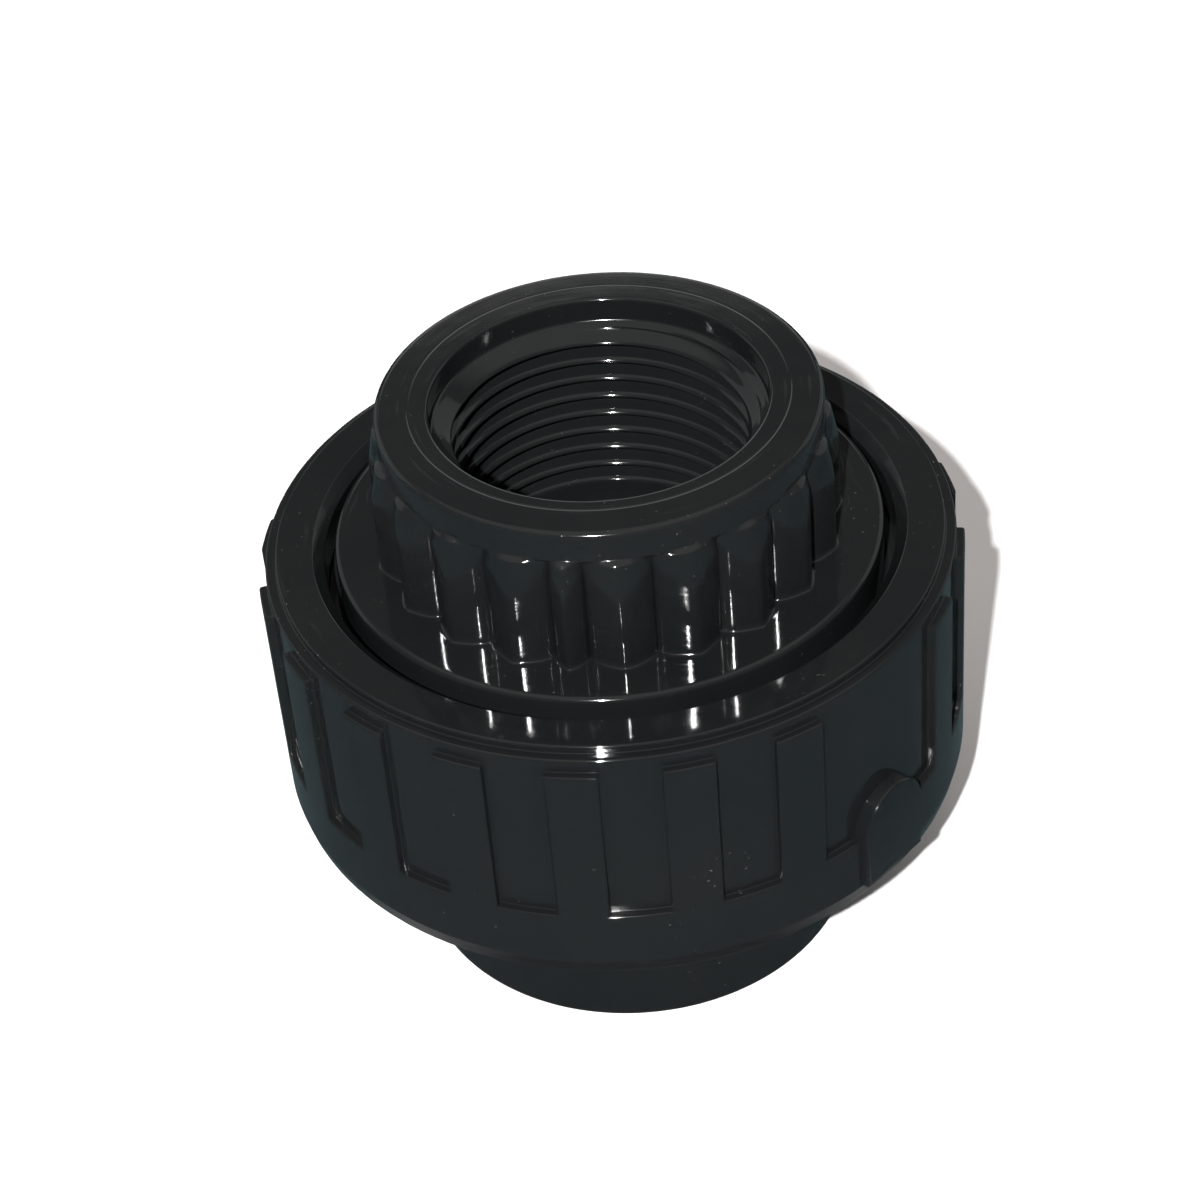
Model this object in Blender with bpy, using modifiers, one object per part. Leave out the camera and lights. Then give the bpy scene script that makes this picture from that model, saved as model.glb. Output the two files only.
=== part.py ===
"""Pipe union, three-quarter inch: a ribbed end connector with a female pipe thread, held by a
screwed union nut against an O-ring and a body that ends in a plain solvent socket.

Metres, +Z up, bore axis on Z, the lower collar standing on Z = 0.
Four pieces: socket_body, o_ring, end_connector, union_nut.
"""

import math

import bmesh
import bpy
from mathutils import Matrix

# ---------------------------------------------------------------- driving dimensions (metres)

# Overall
OVERALL_HEIGHT = 0.0523
CONNECTOR_RISE = 0.01295        # end connector standing above the nut
NUT_HEIGHT = 0.02335

# Female pipe thread in the end connector, 14 threads to the inch
PIPE_THREAD_DIAMETER = 0.02644
PIPE_THREAD_PITCH = 0.001814
THREAD_DEPTH_PER_PITCH = 0.6403     # the 55 degree pipe thread form
THREAD_FLAT_PER_PITCH = 0.165
THREAD_FLANK_DEG = 27.5
THREAD_RUNOUT_TURNS = 0.6           # plain bore under the last turn

# End connector
COUNTERBORE_GROWTH = 0.00063    # counterbore radius beyond the thread root
COUNTERBORE_DEPTH = 0.0023
ENTRY_CONE_DEPTH = 0.0007
HUB_WALL = 0.00482              # thread root to the smooth ring at the top
RING_HEIGHT = 0.0015
EDGE_ROUND = 0.0004
RIB_COUNT = 20                  # full ribs
RIB_REACH = 0.00136             # rib crest beyond the ring
RIB_VALLEY_DROP = 0.0003        # valley below the ring
NARROW_RIB_DEG = 9.0            # one narrow rib breaks the pitch
NARROW_RIB_AT_DEG = -12.0
SHOULDER_REACH = 0.0006
SHOULDER_DROP = 0.0009
RIB_TAPER = 0.0032              # height of the sloping top of a rib
COLLAR_REACH = 0.0035           # collar beyond the rib crests
COLLAR_ABOVE_NUT = 0.00035
COLLAR_EDGE_WIDE = 0.0012
COLLAR_EDGE_DROP = 0.0006
FLANGE_OVERLAP = 0.0015         # flange under the lip of the nut
FLANGE_HEIGHT = 0.0040
BORE_STOP = 0.0013              # under the threaded bore
BORE_SHOULDER = 0.00176         # waterway radius inside the thread crests

# O-ring and its groove in the lower face of the flange
O_RING_SECTION = 0.0030
O_RING_SQUEEZE = 0.0005
O_RING_LAND = 0.00168           # thread root to the groove
O_RING_GAP = 0.0001

# Union nut
LIP_HEIGHT = 0.00395
LIP_CHAMFER = 0.00095
NUT_WALL = 0.0019               # union thread root to the floor of a recess
BLOCK_STEP = 0.0007             # raised blocks above the recess floors
BLOCK_PITCH_COUNT = 20
BLOCK_DEG = 8.3
MISSING_BLOCK_DEG = 45.0        # where the pad stands in place of a block
TOP_LEDGE_WIDE = 0.00085
TOP_LEDGE_DROP = 0.00065
BLOCK_TOP_DROP = 0.0018         # block tops below the top of the nut
RECESS_EDGE_STEP = 0.00006      # recess floors outside the band above them
RIM_HEIGHT = 0.0064             # plain rim under the recesses
RIM_ROUND = 0.0004
PAD_WIDTH = 0.0070
PAD_HEIGHT = 0.0110
PAD_REACH = 0.0010              # pad beyond the rim
PAD_FOOT = 0.0006               # pad starts this far above the lower edge

# Union thread, between the nut and the body
UNION_PITCH = 0.0040
UNION_TOOTH_DEPTH = 0.0012
UNION_CREST_HALF = 0.00045
UNION_FLANK_DEG = 30.0
THREAD_RADIAL_GAP = 0.0002
THREAD_FLANK_GAP = 0.00025

# Body with the solvent socket
PIPE_DIAMETER = 0.0267
PIPE_ALLOWANCE = 0.0002         # socket bore beyond the pipe
SOCKET_WALL = 0.00585
SOCKET_LAND = 0.0088            # head above the bottom of the socket
SOCKET_CHAMFER = 0.0010
HEAD_INSET = 0.0020             # head above the lower edge of the nut
HEAD_WEB = 0.0048
SKIRT_WALL = 0.0025

# Fits
FACE_GAP = 0.0003               # between faces that press together
LIP_GAP = 0.0010                # collar to the lip of the nut
FLANGE_GAP = 0.00035            # flange to the crest of the union thread

# Facets
FINE_STEPS = 72
THREAD_STEPS = 40
UNION_STEPS = 48

# ---------------------------------------------------------------- derived radii

THREAD_ROOT_R = PIPE_THREAD_DIAMETER / 2
THREAD_CREST_R = THREAD_ROOT_R - THREAD_DEPTH_PER_PITCH * PIPE_THREAD_PITCH
WATERWAY_R = THREAD_CREST_R - BORE_SHOULDER
GROOVE_HALF = O_RING_SECTION / 2 + O_RING_GAP
O_RING_R = THREAD_ROOT_R + O_RING_LAND + GROOVE_HALF
COUNTERBORE_R = THREAD_ROOT_R + COUNTERBORE_GROWTH
RING_R = THREAD_ROOT_R + HUB_WALL
RIB_R = RING_R + RIB_REACH
VALLEY_R = RING_R - RIB_VALLEY_DROP
COLLAR_R = RIB_R + COLLAR_REACH
LIP_R = COLLAR_R + LIP_GAP
FLANGE_R = LIP_R + FLANGE_OVERLAP
NUT_CREST_R = FLANGE_R + FLANGE_GAP
HEAD_R = NUT_CREST_R - THREAD_RADIAL_GAP
BODY_CREST_R = HEAD_R + UNION_TOOTH_DEPTH
NUT_ROOT_R = BODY_CREST_R + THREAD_RADIAL_GAP
RECESS_R = NUT_ROOT_R + NUT_WALL
BAND_R = RECESS_R - RECESS_EDGE_STEP
NUT_R = RECESS_R + BLOCK_STEP
SOCKET_R = PIPE_DIAMETER / 2 + PIPE_ALLOWANCE / 2
SOCKET_COLLAR_R = SOCKET_R + SOCKET_WALL
SKIRT_R = HEAD_R - SKIRT_WALL

# ---------------------------------------------------------------- derived heights

NUT_TOP = OVERALL_HEIGHT - CONNECTOR_RISE
NUT_BOTTOM = NUT_TOP - NUT_HEIGHT
COLLAR_TOP = NUT_TOP + COLLAR_ABOVE_NUT
LIP_BOTTOM = NUT_TOP - LIP_HEIGHT
FLANGE_TOP = LIP_BOTTOM - FACE_GAP
FLANGE_BOTTOM = FLANGE_TOP - FLANGE_HEIGHT
BODY_TOP = FLANGE_BOTTOM - FACE_GAP
THREAD_TOP = OVERALL_HEIGHT - COUNTERBORE_DEPTH - ENTRY_CONE_DEPTH
THREAD_BOTTOM = FLANGE_BOTTOM + BORE_STOP
RIB_TOP = OVERALL_HEIGHT - RING_HEIGHT
RECESS_BOTTOM = NUT_BOTTOM + RIM_HEIGHT
HEAD_BOTTOM = NUT_BOTTOM + HEAD_INSET
SOCKET_TOP = BODY_TOP - SOCKET_LAND


# ---------------------------------------------------------------- helpers


def clear_scene():
    for obj in list(bpy.data.objects):
        bpy.data.objects.remove(obj, do_unlink=True)


def new_collection(name):
    collection = bpy.data.collections.new(name)
    bpy.context.scene.collection.children.link(collection)
    return collection


def plastic(name, colour, roughness):
    """One Principled BSDF material, named as its piece."""
    material = bpy.data.materials.new(name)
    material.use_nodes = True
    shader = material.node_tree.nodes["Principled BSDF"]
    shader.inputs["Base Color"].default_value = (*colour, 1.0)
    shader.inputs["Roughness"].default_value = roughness
    return material


def add_object(name, mesh, collection):
    obj = bpy.data.objects.new(name, mesh)
    collection.objects.link(obj)
    return obj


def add_cutter(name, mesh, cutters):
    obj = add_object(name, mesh, cutters)
    obj.hide_render = True
    obj.display_type = "WIRE"
    return obj


def profile_mesh(name, points):
    """A closed loop of edges in the XZ plane, from (radius, height) pairs."""
    mesh = bpy.data.meshes.new(name)
    count = len(points)
    edges = [(i, (i + 1) % count) for i in range(count)]
    mesh.from_pydata([(radius, 0.0, height) for radius, height in points], edges, [])
    return mesh


def add_screw(obj, degrees, rise, steps):
    screw = obj.modifiers.new("Screw", "SCREW")
    screw.axis = "Z"
    screw.angle = math.radians(degrees)
    screw.screw_offset = rise
    screw.steps = steps
    screw.render_steps = steps
    screw.use_merge_vertices = rise == 0.0 and degrees == 360.0
    screw.merge_threshold = 0.00001
    return screw


def lathe(name, points, steps, collection):
    """A full turn of a profile that runs down its outer side and up its inner side."""
    obj = add_object(name, profile_mesh(name, points), collection)
    add_screw(obj, 360.0, 0.0, steps)
    return obj


def evaluated_mesh(obj):
    graph = bpy.context.evaluated_depsgraph_get()
    return bpy.data.meshes.new_from_object(obj.evaluated_get(graph))


def swept_mesh(name, points, degrees, rise, steps):
    """A profile carried round Z by an angle while it rises, with both ends capped."""
    holder = bpy.data.objects.new(name, profile_mesh(name, points))
    bpy.context.scene.collection.objects.link(holder)
    add_screw(holder, degrees, rise, steps)
    mesh = evaluated_mesh(holder)
    bpy.data.objects.remove(holder, do_unlink=True)
    shape = bmesh.new()
    shape.from_mesh(mesh)
    open_edges = [edge for edge in shape.edges if len(edge.link_faces) == 1]
    bmesh.ops.holes_fill(shape, edges=open_edges, sides=0)
    bmesh.ops.recalc_face_normals(shape, faces=shape.faces[:])
    shape.to_mesh(mesh)
    shape.free()
    return mesh


def turned(mesh, degrees):
    """Turns a mesh about Z in place."""
    mesh.transform(Matrix.Rotation(math.radians(degrees), 4, "Z"))
    return mesh


def joined_mesh(name, meshes):
    """Several separate closed meshes as one."""
    shape = bmesh.new()
    for mesh in meshes:
        shape.from_mesh(mesh)
    mesh = bpy.data.meshes.new(name)
    shape.to_mesh(mesh)
    shape.free()
    return mesh


def outline_mesh(name, outline, thickness):
    """A flat outline made solid, with its middle on Z = 0."""
    curve = bpy.data.curves.new(name, "CURVE")
    curve.dimensions = "2D"
    curve.fill_mode = "BOTH"
    curve.extrude = thickness / 2
    spline = curve.splines.new("POLY")
    spline.points.add(len(outline) - 1)
    for point, (x, y) in zip(spline.points, outline):
        point.co = (x, y, 0.0, 1.0)
    spline.use_cyclic_u = True
    holder = add_object(name, curve, bpy.context.scene.collection)
    mesh = evaluated_mesh(holder)
    bpy.data.objects.remove(holder, do_unlink=True)
    shape = bmesh.new()
    shape.from_mesh(mesh)
    bmesh.ops.remove_doubles(shape, verts=shape.verts[:], dist=0.000001)
    bmesh.ops.recalc_face_normals(shape, faces=shape.faces[:])
    shape.to_mesh(mesh)
    shape.free()
    return mesh


def boolean(target, tool, operation):
    modifier = target.modifiers.new(tool.name, "BOOLEAN")
    modifier.object = tool
    modifier.operation = operation
    modifier.solver = "EXACT"


def finish(obj, colour, roughness):
    """Settles the shape, shades it smooth between its edges, and gives it its material."""
    mesh = evaluated_mesh(obj)
    obj.modifiers.clear()
    obj.data = mesh
    mesh.shade_smooth()
    mesh.set_sharp_from_angle(angle=math.radians(30.0))
    mesh.materials.clear()
    mesh.materials.append(plastic(obj.name, colour, roughness))
    return obj


def front_angle(degrees):
    """Angle from +X for a place that many degrees to the right of the front, -Y."""
    return degrees - 90.0


# ---------------------------------------------------------------- threads


def tooth_profile(crest_r, crest_half, base_r, flank_deg):
    """Half widths grow from the crest towards the base, at the flank angle."""
    base_half = crest_half + abs(crest_r - base_r) * math.tan(math.radians(flank_deg))
    return [
        (crest_r, crest_half),
        (crest_r, -crest_half),
        (base_r, -base_half),
        (base_r, base_half),
    ]


def thread_mesh(name, tooth, pitch, start_height, turns, steps_per_turn):
    """A right-hand helical tooth whose middle starts at a height on the +X side."""
    points = [(radius, height + start_height) for radius, height in tooth]
    steps = int(round(turns * steps_per_turn))
    degrees = steps * 360.0 / steps_per_turn
    return swept_mesh(name, points, degrees, pitch * degrees / 360.0, steps)


# ---------------------------------------------------------------- end connector


def connector_profile():
    top = OVERALL_HEIGHT
    groove_top = FLANGE_BOTTOM + O_RING_SECTION - O_RING_SQUEEZE
    return [
        (RING_R - EDGE_ROUND, top),
        (RING_R, top - EDGE_ROUND),
        (RING_R, RIB_TOP),
        (VALLEY_R, RIB_TOP),
        (VALLEY_R, COLLAR_TOP),
        (COLLAR_R - COLLAR_EDGE_WIDE, COLLAR_TOP),
        (COLLAR_R - COLLAR_EDGE_WIDE / 4, COLLAR_TOP - COLLAR_EDGE_DROP / 3),
        (COLLAR_R, COLLAR_TOP - COLLAR_EDGE_DROP),
        (COLLAR_R, FLANGE_TOP),
        (FLANGE_R - EDGE_ROUND, FLANGE_TOP),
        (FLANGE_R, FLANGE_TOP - EDGE_ROUND),
        (FLANGE_R, FLANGE_BOTTOM + EDGE_ROUND),
        (FLANGE_R - EDGE_ROUND, FLANGE_BOTTOM),
        (O_RING_R + GROOVE_HALF, FLANGE_BOTTOM),
        (O_RING_R + GROOVE_HALF, groove_top),
        (O_RING_R - GROOVE_HALF, groove_top),
        (O_RING_R - GROOVE_HALF, FLANGE_BOTTOM),
        (WATERWAY_R, FLANGE_BOTTOM),
        (WATERWAY_R, THREAD_BOTTOM - EDGE_ROUND),
        (THREAD_CREST_R, THREAD_BOTTOM),
        (THREAD_CREST_R, THREAD_TOP),
        (COUNTERBORE_R, THREAD_TOP + ENTRY_CONE_DEPTH),
        (COUNTERBORE_R, top - EDGE_ROUND),
        (COUNTERBORE_R + EDGE_ROUND, top),
    ]


def rib_outline():
    """Lobes all round: the full ribs share what the narrow rib leaves."""
    full_deg = (360.0 - NARROW_RIB_DEG) / RIB_COUNT
    lobes = [(NARROW_RIB_DEG, 5)] + [(full_deg, 7)] * RIB_COUNT
    outline = []
    start = front_angle(NARROW_RIB_AT_DEG) - NARROW_RIB_DEG / 2
    for width, samples in lobes:
        for i in range(samples):
            across = -1.0 + 2.0 * i / samples
            rise = max(0.0, 1.0 - across * across) ** 0.7
            radius = VALLEY_R + (RIB_R - VALLEY_R) * rise
            angle = math.radians(start + width * i / samples)
            outline.append((radius * math.cos(angle), radius * math.sin(angle)))
        start += width
    return outline


def rib_envelope_profile():
    """What limits the ribs: a small rounded shoulder, a steep slope, then upright sides."""
    inner = THREAD_ROOT_R + HUB_WALL / 2
    beyond = RIB_R + RIB_REACH
    return [
        (RING_R - EDGE_ROUND, RIB_TOP + EDGE_ROUND / 2),
        (RING_R + SHOULDER_REACH * 0.6, RIB_TOP - SHOULDER_DROP * 0.3),
        (RING_R + SHOULDER_REACH, RIB_TOP - SHOULDER_DROP),
        (RIB_R, RIB_TOP - SHOULDER_DROP - RIB_TAPER),
        (beyond, RIB_TOP - SHOULDER_DROP - RIB_TAPER - 0.004),
        (beyond, COLLAR_TOP - 0.001),
        (inner, COLLAR_TOP - 0.001),
        (inner, RIB_TOP + EDGE_ROUND / 2),
    ]


def build_ribs(cutters):
    low = COLLAR_TOP - EDGE_ROUND
    high = RIB_TOP + EDGE_ROUND
    lobes = add_cutter("rib_lobes", outline_mesh("rib_lobes", rib_outline(), high - low), cutters)
    lobes.location.z = (low + high) / 2
    limit = lathe("rib_limit", rib_envelope_profile(), FINE_STEPS, cutters)
    limit.hide_render = True
    limit.display_type = "WIRE"
    boolean(lobes, limit, "INTERSECT")
    return lobes


def pipe_thread_cutter(cutters):
    root_half = THREAD_FLAT_PER_PITCH * PIPE_THREAD_PITCH / 2
    inner = THREAD_CREST_R - 0.00016
    tooth = tooth_profile(THREAD_ROOT_R, root_half, inner, THREAD_FLANK_DEG)
    low = THREAD_BOTTOM + PIPE_THREAD_PITCH * THREAD_RUNOUT_TURNS
    turns = (THREAD_TOP + ENTRY_CONE_DEPTH * 2 - low) / PIPE_THREAD_PITCH
    mesh = thread_mesh("pipe_thread", tooth, PIPE_THREAD_PITCH, low, turns, THREAD_STEPS)
    return add_cutter("pipe_thread", mesh, cutters)


def build_end_connector(parts, cutters):
    connector = lathe("end_connector", connector_profile(), FINE_STEPS, parts)
    boolean(connector, build_ribs(cutters), "UNION")
    boolean(connector, pipe_thread_cutter(cutters), "DIFFERENCE")
    return finish(connector, (0.022, 0.027, 0.029), 0.22)


# ---------------------------------------------------------------- O-ring


def build_o_ring(parts):
    """A round section, a little flattened between the groove and the face of the body."""
    half_wide = O_RING_SECTION / 2
    half_tall = (O_RING_SECTION - O_RING_SQUEEZE + FACE_GAP) / 2 - O_RING_GAP
    middle = FLANGE_BOTTOM + O_RING_SECTION - O_RING_SQUEEZE - O_RING_GAP - half_tall
    points = []
    for i in range(14):
        angle = math.pi / 2 - 2.0 * math.pi * i / 14
        radius = O_RING_R + half_wide * math.cos(angle)
        points.append((radius, middle + half_tall * math.sin(angle)))
    ring = lathe("o_ring", points, UNION_STEPS, parts)
    return finish(ring, (0.012, 0.012, 0.012), 0.55)


# ---------------------------------------------------------------- union nut


def nut_profile():
    return [
        (BAND_R - TOP_LEDGE_WIDE - RIM_ROUND / 2, NUT_TOP),
        (BAND_R - TOP_LEDGE_WIDE, NUT_TOP - RIM_ROUND / 2),
        (BAND_R - TOP_LEDGE_WIDE, NUT_TOP - TOP_LEDGE_DROP),
        (BAND_R - RIM_ROUND / 2, NUT_TOP - TOP_LEDGE_DROP),
        (BAND_R, NUT_TOP - TOP_LEDGE_DROP - RIM_ROUND / 2),
        (BAND_R, NUT_TOP - BLOCK_TOP_DROP),
        (NUT_R, NUT_TOP - BLOCK_TOP_DROP),
        (NUT_R, NUT_BOTTOM + RIM_ROUND),
        (NUT_R - RIM_ROUND, NUT_BOTTOM),
        (NUT_ROOT_R, NUT_BOTTOM),
        (NUT_CREST_R, NUT_BOTTOM + UNION_TOOTH_DEPTH),
        (NUT_CREST_R, LIP_BOTTOM),
        (LIP_R, LIP_BOTTOM),
        (LIP_R, NUT_TOP - LIP_CHAMFER),
        (LIP_R + LIP_CHAMFER, NUT_TOP),
    ]


def recess_mesh(middle_deg, width_deg, steps):
    """A piece of ring, cut out of the outside of the nut between two blocks."""
    points = [
        (NUT_R + BLOCK_STEP, NUT_TOP - BLOCK_TOP_DROP + BLOCK_STEP),
        (NUT_R + BLOCK_STEP, RECESS_BOTTOM),
        (RECESS_R, RECESS_BOTTOM),
        (RECESS_R, NUT_TOP - BLOCK_TOP_DROP + BLOCK_STEP),
    ]
    mesh = swept_mesh("recess", points, width_deg, 0.0, steps)
    return turned(mesh, front_angle(middle_deg) - width_deg / 2)


def recess_cutter(cutters):
    pitch = 360.0 / BLOCK_PITCH_COUNT
    narrow = pitch - BLOCK_DEG
    meshes = []
    for i in range(BLOCK_PITCH_COUNT):
        middle = i * pitch
        apart = abs((middle - MISSING_BLOCK_DEG + 180.0) % 360.0 - 180.0)
        if apart > pitch * 0.6:
            meshes.append(recess_mesh(middle, narrow, 3))
    meshes.append(recess_mesh(MISSING_BLOCK_DEG, pitch + narrow, 8))
    return add_cutter("recesses", joined_mesh("recesses", meshes), cutters)


def build_pad(cutters):
    """The arch-topped pad: an upright outline that stands out through the recess floor."""
    half = PAD_WIDTH / 2
    foot = NUT_BOTTOM + PAD_FOOT
    shoulder = foot + PAD_HEIGHT - half
    outline = [(-half, foot), (half, foot)]
    for i in range(13):
        angle = math.pi * i / 12
        outline.append((half * math.cos(angle), shoulder + half * math.sin(angle)))
    inner = RECESS_R - NUT_WALL / 2
    outer = NUT_R + PAD_REACH
    pad = add_cutter("pad", outline_mesh("pad", outline, outer - inner), cutters)
    turn = math.radians(MISSING_BLOCK_DEG)
    middle = (inner + outer) / 2
    pad.location = (middle * math.sin(turn), -middle * math.cos(turn), 0.0)
    pad.rotation_euler = (math.pi / 2, 0.0, turn)
    return pad


def nut_thread_cutter(cutters):
    slope = math.tan(math.radians(UNION_FLANK_DEG))
    root_half = UNION_CREST_HALF + THREAD_FLANK_GAP - THREAD_RADIAL_GAP * slope
    tooth = tooth_profile(NUT_ROOT_R, root_half, NUT_CREST_R - 0.0005, UNION_FLANK_DEG)
    start = union_thread_start()
    turns_below = math.ceil((start - NUT_BOTTOM) / UNION_PITCH) + 1
    low = start - turns_below * UNION_PITCH
    turns = (BODY_TOP - low) / UNION_PITCH
    mesh = thread_mesh("nut_thread", tooth, UNION_PITCH, low, turns, UNION_STEPS)
    return add_cutter("nut_thread", mesh, cutters)


def union_thread_start():
    """Height of the middle of the body's lowest tooth on the +X side."""
    return HEAD_BOTTOM + UNION_CREST_HALF * 4


def build_union_nut(parts, cutters):
    nut = lathe("union_nut", nut_profile(), FINE_STEPS, parts)
    boolean(nut, recess_cutter(cutters), "DIFFERENCE")
    boolean(nut, build_pad(cutters), "UNION")
    boolean(nut, nut_thread_cutter(cutters), "DIFFERENCE")
    return finish(nut, (0.024, 0.030, 0.032), 0.22)


# ---------------------------------------------------------------- body


def body_profile():
    return [
        (HEAD_R - EDGE_ROUND, BODY_TOP),
        (HEAD_R, BODY_TOP - EDGE_ROUND),
        (HEAD_R, HEAD_BOTTOM + EDGE_ROUND),
        (HEAD_R - EDGE_ROUND, HEAD_BOTTOM),
        (SKIRT_R, HEAD_BOTTOM),
        (SKIRT_R, BODY_TOP - HEAD_WEB),
        (SOCKET_COLLAR_R, BODY_TOP - HEAD_WEB),
        (SOCKET_COLLAR_R, EDGE_ROUND),
        (SOCKET_COLLAR_R - EDGE_ROUND, 0.0),
        (SOCKET_R + SOCKET_CHAMFER, 0.0),
        (SOCKET_R, SOCKET_CHAMFER),
        (SOCKET_R, SOCKET_TOP),
        (WATERWAY_R, SOCKET_TOP),
        (WATERWAY_R, BODY_TOP),
    ]


def body_thread(cutters):
    tooth = tooth_profile(BODY_CREST_R, UNION_CREST_HALF, HEAD_R - 0.0005, UNION_FLANK_DEG)
    low = union_thread_start()
    turns = (BODY_TOP - UNION_CREST_HALF * 4 - low) / UNION_PITCH
    mesh = thread_mesh("body_thread", tooth, UNION_PITCH, low, turns, UNION_STEPS)
    return add_cutter("body_thread", mesh, cutters)


def build_socket_body(parts, cutters):
    body = lathe("socket_body", body_profile(), FINE_STEPS, parts)
    boolean(body, body_thread(cutters), "UNION")
    return finish(body, (0.020, 0.025, 0.027), 0.25)


# ---------------------------------------------------------------- assembly


def build():
    clear_scene()
    parts = new_collection("pipe_union")
    cutters = new_collection("cutters")
    build_socket_body(parts, cutters)
    build_o_ring(parts)
    build_end_connector(parts, cutters)
    build_union_nut(parts, cutters)


build()
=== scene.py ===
"""Pipe union, three-quarter inch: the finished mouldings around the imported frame.

Four pieces: the body with the solvent socket, the O-ring, the ribbed end connector and the union
nut. Each is one closed ring of quads, a loop of points carried round the bore axis, so threads,
ribs and blocks are part of the same skin.
"""

import math

import bmesh
import bpy
import numpy as np
from bpy.props import FloatProperty, FloatVectorProperty, IntProperty, PointerProperty
from mathutils import Matrix, Vector


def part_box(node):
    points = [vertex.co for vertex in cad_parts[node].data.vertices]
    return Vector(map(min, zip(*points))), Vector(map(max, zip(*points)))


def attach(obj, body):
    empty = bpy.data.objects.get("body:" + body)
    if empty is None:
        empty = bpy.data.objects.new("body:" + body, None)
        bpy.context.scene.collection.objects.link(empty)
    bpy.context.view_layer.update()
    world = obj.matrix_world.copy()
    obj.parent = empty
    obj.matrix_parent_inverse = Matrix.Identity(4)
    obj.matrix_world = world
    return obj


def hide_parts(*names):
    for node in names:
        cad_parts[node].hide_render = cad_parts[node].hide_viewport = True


bl_info = {
    "name": "Pipe Union Mouldings",
    "version": (1, 0, 0),
    "blender": (4, 5, 0),
    "location": "View3D > Sidebar > Pipe Union",
    "description": "Builds the four mouldings of a plastic pipe union and a plain studio",
    "category": "Object",
}

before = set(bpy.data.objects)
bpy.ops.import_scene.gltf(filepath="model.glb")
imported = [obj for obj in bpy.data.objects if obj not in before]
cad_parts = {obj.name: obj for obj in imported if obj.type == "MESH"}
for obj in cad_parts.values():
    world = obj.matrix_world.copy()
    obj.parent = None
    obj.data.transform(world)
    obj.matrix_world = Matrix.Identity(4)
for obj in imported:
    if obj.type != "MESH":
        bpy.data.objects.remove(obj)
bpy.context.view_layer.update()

MM = 0.001
BODY_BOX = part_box("socket_body")
RING_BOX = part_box("o_ring")
CONNECTOR_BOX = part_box("end_connector")
NUT_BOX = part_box("union_nut")

# Heights that the frame gives
CONNECTOR_TOP = CONNECTOR_BOX[1].z
FLANGE_FACE = CONNECTOR_BOX[0].z
NUT_TOP = NUT_BOX[1].z
NUT_FOOT = NUT_BOX[0].z
BODY_TOP = BODY_BOX[1].z

# End connector: radii, and heights of its faces
THREAD_ROOT = 13.22 * MM
THREAD_CREST = 12.06 * MM
WATERWAY = 10.30 * MM
RING_EDGE = 18.26 * MM
RIB_CREST = 19.40 * MM
RIB_VALLEY = 17.74 * MM
COLLAR_EDGE = 22.90 * MM
FLANGE_EDGE = CONNECTOR_BOX[1].x
COUNTERBORE = 13.85 * MM
COUNTERBORE_FLOOR = CONNECTOR_TOP - 2.30 * MM
ENTRY_FLOOR = CONNECTOR_TOP - 3.00 * MM
THREAD_FLOOR = FLANGE_FACE + 1.30 * MM
RIB_SHOULDER = CONNECTOR_TOP - 2.70 * MM
RIB_FOOT_ROUND = 0.25 * MM
COLLAR_TOP = NUT_TOP + 0.35 * MM
COLLAR_ROLL = 0.50 * MM             # rolled edge of the collar, inward
COLLAR_ROLL_DROP = 0.42 * MM        # and downward
FLANGE_TOP = FLANGE_FACE + 4.0 * MM
GROOVE_OUTER = 18.10 * MM
GROOVE_INNER = 14.90 * MM
GROOVE_ROOF = FLANGE_FACE + 2.50 * MM

# Faint marks of the mould on the end connector
SEAM_RISE = 0.03 * MM
SEAM_HALF_DEG = 0.45
WITNESS_RADIUS = 15.55 * MM         # fine line round the end face, a little off centre
WITNESS_OFFSET = 0.42 * MM
WITNESS_AT_DEG = -8.0

# Union nut
LIP_BORE = 23.90 * MM
LIP_CHAMFER = 0.95 * MM
LIP_FLOOR = NUT_TOP - 3.95 * MM
NUT_TOOTH = 25.75 * MM
NUT_GROOVE = 26.95 * MM
RECESS_FLOOR = 28.85 * MM
NUT_SIDE = 29.55 * MM
LEDGE = NUT_TOP - 0.65 * MM
LEDGE_EDGE = RECESS_FLOOR - 0.90 * MM
RIM_TOP = NUT_FOOT + 6.40 * MM
RIM_INSET = 0.34 * MM               # what the taper takes off the radius at the foot
BLOCK_TOP = NUT_TOP - 1.80 * MM
BLOCK_RISE = NUT_SIDE - RECESS_FLOOR
MOULD_DRAFT_DEG = 3.0               # lean of the side walls of a block

# Socket body
HEAD_SIDE = 25.55 * MM
HEAD_TOOTH = 26.75 * MM
HEAD_FOOT = 18.0 * MM
SKIRT_BORE = 23.05 * MM
SOCKET_COLLAR = 19.30 * MM
SOCKET_BORE = 13.45 * MM
SOCKET_STOP = 22.0 * MM
POCKET_ROOF = BODY_TOP - 4.80 * MM

# Threads
PIPE_PITCH = 1.814 * MM
PIPE_TOOTH_START = ENTRY_FLOOR - 1.26 * MM + PIPE_PITCH * 0.25
UNION_PITCH = 4.0 * MM
UNION_TOOTH_START = 19.8 * MM       # middle of the lowest tooth of the body, on the +X side
UNION_TOOTH_END = 29.0 * MM
UNION_CREST_HALF = 0.45 * MM
UNION_FLANK_SLOPE = math.tan(math.radians(30.0))
UNION_FLANK_GAP = 0.25 * MM
UNION_RADIAL_GAP = 0.2 * MM

# Blocks and pad of the nut
BLOCK_PLACES = 20
PAD_AT_DEG = 45.0                   # a pad stands here in place of a block
PAD_FOOT = NUT_FOOT + 1.55 * MM
PAD_ROOT = RECESS_FLOOR - 0.9 * MM
PAD_FACE = NUT_SIDE + 0.50 * MM
ARCH_POINTS = 28                    # even, so that none meets the column at the pad's middle

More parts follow.
